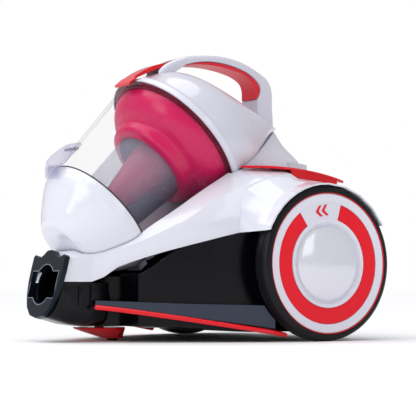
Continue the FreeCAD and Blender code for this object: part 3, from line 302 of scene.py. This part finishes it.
def cup_point(x, s, h):
    """Point x to the side, s along the cup axis from the rim and h square to it."""
    return tuple(rim + Vector((x, 0, 0)) + axis * s + normal * h)


def monotone(table, at, column):
    """Smooth value of one column of a table whose first column rises."""

    def slope(i):
        if i in (0, n - 1):
            return chord[min(i, n - 2)]
        a, b = chord[i - 1], chord[i]
        return 0.0 if a * b <= 0 else 2 * a * b / (a + b)

    n = len(table)
    k = 0
    while k < n - 2 and at > table[k + 1][0]:
        k += 1
    chord = [(table[i + 1][column] - table[i][column]) / (table[i + 1][0] - table[i][0])
             for i in range(n - 1)]
    width = table[k + 1][0] - table[k][0]
    t = (at - table[k][0]) / width
    p, q = table[k][column], table[k + 1][column]
    t2, t3 = t * t, t * t * t
    return ((2 * t3 - 3 * t2 + 1) * p + (t3 - 2 * t2 + t) * slope(k) * width
            + (3 * t2 - 2 * t3) * q + (t3 - t2) * slope(k + 1) * width)


# cover: distance from the rim, then its height and its width as shares of the full circle
DOME = [(0.0, 1.0, 1.0), (14.0, 0.945, 1.0), (30.0, 0.905, 0.975), (45.0, 0.837, 0.90),
        (60.0, 0.672, 0.77), (75.0, 0.444, 0.625), (88.0, 0.240, 0.49), (98.0, 0.050, 0.37)]
COVER_R = 84.0
SEAM_H = -46.4
SEAM_FALL = -0.1634
ARC = 241
SEAM_STEPS = 16

# flat under the front tab of the release button
TAB_HALF = 16.8
TAB_END = 12.0
SEAL_END = 2.7
TAB_OVER_SEAL = 82.0
TAB_FLOOR = 80.4


def cover_loop(s, radius=COVER_R, squash=None, floor=0.0):
    """Points round the cover at s: an arc, then straight along the seam."""
    seam = SEAM_H + SEAM_FALL * max(0.0, s)
    k, w = monotone(DOME, max(0.0, s), 1), monotone(DOME, max(0.0, s), 2)
    if squash is not None:
        k, w = squash
    half = math.acos(seam / radius)
    loop = []
    for i in range(ARC):
        a = half * (2.0 * i / (ARC - 1) - 1.0)
        x = radius * math.sin(a) * w
        h = seam + floor + (radius * math.cos(a) - seam) * k
        if abs(x) < TAB_HALF and s < TAB_END:
            h = min(h, TAB_OVER_SEAL if s < SEAL_END else TAB_FLOOR)
        loop.append(cup_point(x, s, h))
    for i in range(1, SEAM_STEPS):
        x = radius * math.sin(half) * w * (1.0 - 2.0 * i / SEAM_STEPS)
        loop.append(cup_point(x, s, seam + floor))
    return loop


# front of the cover: distance from the rim, radius, share of the height, lift of the floor
COVER_FRONT = [(16.5, 74.2, 1.0, 1.0), (2.6, 74.2, 1.0, 1.0), (2.6, 82.4, 1.0, 1.0),
               (0.0, 82.4, 1.0, 1.0), (0.0, 82.7, 1.0, 0.0), (0.5, 83.1, 1.0, 0.0),
               (7.2, 84.3, 0.992, 0.0), (7.8, 84.3, 0.985, 0.0), (8.2, 84.0, 0.974, 0.0),
               (8.8, 84.0, 0.969, 0.0)]
COVER_FROM = 10.0
COVER_STEP = 1.6
COVER_END = DOME[-1][0]


def dome_cover():
    """Cover over the rim of the cup, from the seat inside its front edge to its tail."""
    loops = [cover_loop(s, r, (k, 1.0), lift) for s, r, k, lift in COVER_FRONT]
    s = COVER_FROM
    while s < COVER_END - 1.0:
        loops.append(cover_loop(s))
        s += COVER_STEP
    loops.append(cover_loop(COVER_END))
    cols = len(loops[0])
    verts = [p for loop in loops for p in loop]
    faces = grid_faces(len(loops), cols)
    faces.append(tuple(range(cols)))
    faces.append(tuple(range((len(loops) - 1) * cols, len(loops) * cols)))
    return mesh_object("cover_dome", verts, faces, MATS["pale_grey"], "cup_assembly",
                       24.0)


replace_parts(dome_cover(), "cup_cover")

# closed (radius, s) profiles about the cup axis: bowl-shaped cyclone drum and mesh sleeve
DRUM = [(75.0, -2.0), (74.2, -6.0), (72.4, -11.0), (68.8, -16.2), (64.0, -20.8), (58.4, -24.6),
        (54.2, -26.6), (52.6, -28.0), (51.8, -30.0), (51.2, -35.0), (49.8, -38.4), (47.0, -40.2),
        (41.0, -40.6), (40.0, -40.6), (40.0, -38.6), (46.8, -38.2), (49.0, -35.0), (49.8, -29.0),
        (53.0, -24.8), (58.0, -22.4), (66.4, -15.6), (70.0, -11.0), (72.8, -2.0)]
SLEEVE = [(40.4, -39.0), (34.0, -112.0), (32.8, -112.0), (39.2, -39.0)]


def cup_lathe(name, profile, mat, segments=180, sharp=45.0):
    """Body turned about the cup axis from a (radius, s) profile in mm."""
    verts = []
    for r, s in profile:
        for j in range(segments):
            a = 2 * math.pi * j / segments
            verts.append(cup_point(r * math.cos(a), s, r * math.sin(a)))
    return mesh_object(name, verts, grid_faces(len(profile), segments, True), mat,
                       "cup_assembly", sharp)


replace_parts(cup_lathe("drum_smooth", DRUM, MATS["drum_magenta"]), "cyclone_drum")
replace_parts(cup_lathe("sleeve_fine", SLEEVE, MATS["mesh_grey"]), "cyclone_mesh")


# closed (s, radius) profile of the band, which narrows by BAND_TAPER over BAND_LENGTH
BAND = [(0.4, 83.0), (0.4, 84.1), (0.9, 84.5), (6.6, 84.55), (7.1, 84.2), (7.1, 83.0)]
BAND_LENGTH = 7.0
BAND_TAPER = 0.008
BAND_COLS = 108


def sheen_painted_band(name, first):
    """Lighter band along the front edge of the cover, on one side of the button: a raised band,
    painted in the paler satin white as sheen for its angle to the light.
    """
    verts = []
    for s, r in BAND:
        loop = cover_loop(s, r, (1.0 - BAND_TAPER * s / BAND_LENGTH, 1.0))
        verts += loop[first:first + BAND_COLS]
    rows = len(BAND)
    faces = grid_faces(rows, BAND_COLS, True, False)
    for end in (0, BAND_COLS - 1):
        faces.append(tuple(i * BAND_COLS + end for i in range(rows)))
    # satin white, paler than the cover's pale grey, is a painted sheen on the band
    mesh_object(name, verts, faces, MATS["satin_white"], "cup_assembly", 35.0)


# bands on each side of the button, painted paler than the cover as sheen
sheen_painted_band("cover_band_left", 0)
sheen_painted_band("cover_band_right", ARC - BAND_COLS)


def ring_line(name, points, radius, mat, body, sides=10):
    """Thin round line that runs through points in mm and back to the first."""
    pts = [Vector(p) for p in points]
    n = len(pts)
    verts = []
    for i, p in enumerate(pts):
        ahead = (pts[(i + 1) % n] - pts[i - 1]).normalized()
        u = ahead.cross(LINE_ASIDE).normalized()
        v = ahead.cross(u)
        for k in range(sides):
            a = 2 * math.pi * k / sides
            verts.append(tuple(p + (u * math.cos(a) + v * math.sin(a)) * radius))
    return mesh_object(name, verts, grid_faces(n, sides, True), mat, body, 60.0)


# raised line round the keyed mouth of the inlet, in the plane of the bezel's face; its grey is a
# painted highlight on the edge of the bore
INLET = Vector((0.0, -161.6, 57.7))
INLET_LEAN = 14.3
FACE_Z = 1.0
BORE_LINE_R = 20.9
KEY_HALF_W = 28.4
KEY_HALF_H = 13.9
ARC_STEPS = 12
LINE_R = 0.45
LINE_ASIDE = Vector((0.31, 0.17, 0.94))


def bezel_point(x, y, z):
    """Point of the inlet: x across and y up its face, z out along the bore."""
    turn = math.radians(90.0 - INLET_LEAN)
    return tuple(INLET + Vector((x, y * math.cos(turn) - z * math.sin(turn),
                                 y * math.sin(turn) + z * math.cos(turn))))


def mouth_outline():
    """Outline of the round bore with its two key slots, a quarter at a time."""
    start = math.asin(KEY_HALF_H / BORE_LINE_R)
    outline = []
    for sx, sy in ((1, 1), (-1, 1), (-1, -1), (1, -1)):
        quarter = [(KEY_HALF_W, 0.0), (KEY_HALF_W, KEY_HALF_H)]
        for k in range(ARC_STEPS + 1):
            a = start + (math.pi / 2 - start) * k / ARC_STEPS
            quarter.append((BORE_LINE_R * math.cos(a), BORE_LINE_R * math.sin(a)))
        if sx * sy < 0:
            quarter = quarter[::-1]
        outline += [(sx * x, sy * y) for x, y in quarter[:-1]]
    return [bezel_point(x, y, FACE_Z) for x, y in outline]


# the grey line is a raised ring whose colour paints the highlight on the bore's edge
ring_line("mouth_highlight_line", mouth_outline(), LINE_R, MATS["edge_grey"], "chassis")


# ---------------------------------------------------------------- stage

FLOOR_HALF = 8.0
AMBIENT = 0.50
BACKDROP = 1.0


def plane(name, half, z):
    """Flat square at height z."""
    mesh = bpy.data.meshes.new(name)
    mesh.from_pydata([(-half, -half, z), (half, -half, z), (half, half, z), (-half, half, z)], [],
                     [(0, 1, 2, 3)])
    obj = bpy.data.objects.new(name, mesh)
    bpy.context.scene.collection.objects.link(obj)
    return obj


floor = plane("floor", FLOOR_HALF, 0.0)
paper = plastic("floor_paper", (0.93, 0.93, 0.94), rough=0.6, spread=0.0, tint=0.0, bump=0.0,
                edge=0.0, spec=0.1)
floor.data.materials.append(paper)

# the camera sees a white backdrop, while the light from all round is dimmer
world = bpy.data.worlds.new("studio")
bpy.context.scene.world = world
world.use_nodes = True
wtree = world.node_tree
ambient = wtree.nodes["Background"]
ambient.inputs[0].default_value = (0.97, 0.98, 1.0, 1.0)
ambient.inputs[1].default_value = AMBIENT
sky = add(wtree, "ShaderNodeBackground")
sky.inputs[0].default_value = (1.0, 1.0, 1.0, 1.0)
sky.inputs[1].default_value = BACKDROP
path = add(wtree, "ShaderNodeLightPath")
blend = add(wtree, "ShaderNodeMixShader")
wtree.links.new(path.outputs["Is Camera Ray"], blend.inputs[0])
wtree.links.new(ambient.outputs[0], blend.inputs[1])
wtree.links.new(sky.outputs[0], blend.inputs[2])
wtree.links.new(blend.outputs[0], wtree.nodes["World Output"].inputs["Surface"])


def light(kind, name, place, target, power, **sizes):
    """Lamp at place, turned to target."""
    data = bpy.data.lights.new(name, kind)
    data.energy = power
    for key, value in sizes.items():
        setattr(data, key, value)
    obj = bpy.data.objects.new(name, data)
    bpy.context.scene.collection.objects.link(obj)
    obj.location = place
    obj.rotation_mode = "QUATERNION"
    obj.rotation_quaternion = (Vector(target) - Vector(place)).to_track_quat("-Z", "Y")
    return obj


light("SUN", "overhead", (-0.3, -0.5, 2.0), (0, 0, 0), 2.0, angle=1.2)
light("AREA", "front_softbox", (0.25, -1.7, 0.85), (0, 0, 0.15), 6.5, shape="RECTANGLE",
      size=0.8, size_y=1.1)
light("AREA", "side_softbox", (1.7, 0.3, 0.75), (0, 0.05, 0.12), 3.0, shape="RECTANGLE",
      size=0.7, size_y=0.9)

# ---------------------------------------------------------------- camera

# azimuth and elevation in degrees, distance in metres, lens and sensor in millimetres
AZ = 56.7
EL = -2.9
DIST = 1.6
LENS = 127.731
SENSOR = 36.0
TARGET = Vector((0.0, 0.0364, 0.1405))
back = Vector((math.sin(math.radians(AZ)) * math.cos(math.radians(EL)),
               -math.cos(math.radians(AZ)) * math.cos(math.radians(EL)),
               math.sin(math.radians(EL))))
cam_data = bpy.data.cameras.new("camera")
cam_data.sensor_width = SENSOR
cam_data.lens = LENS
camera = bpy.data.objects.new("camera", cam_data)
bpy.context.scene.collection.objects.link(camera)
camera.location = TARGET + back * DIST
camera.rotation_mode = "QUATERNION"
camera.rotation_quaternion = (-back).to_track_quat("-Z", "Y")
bpy.context.scene.camera = camera
bpy.context.scene.view_settings.view_transform = "Standard"
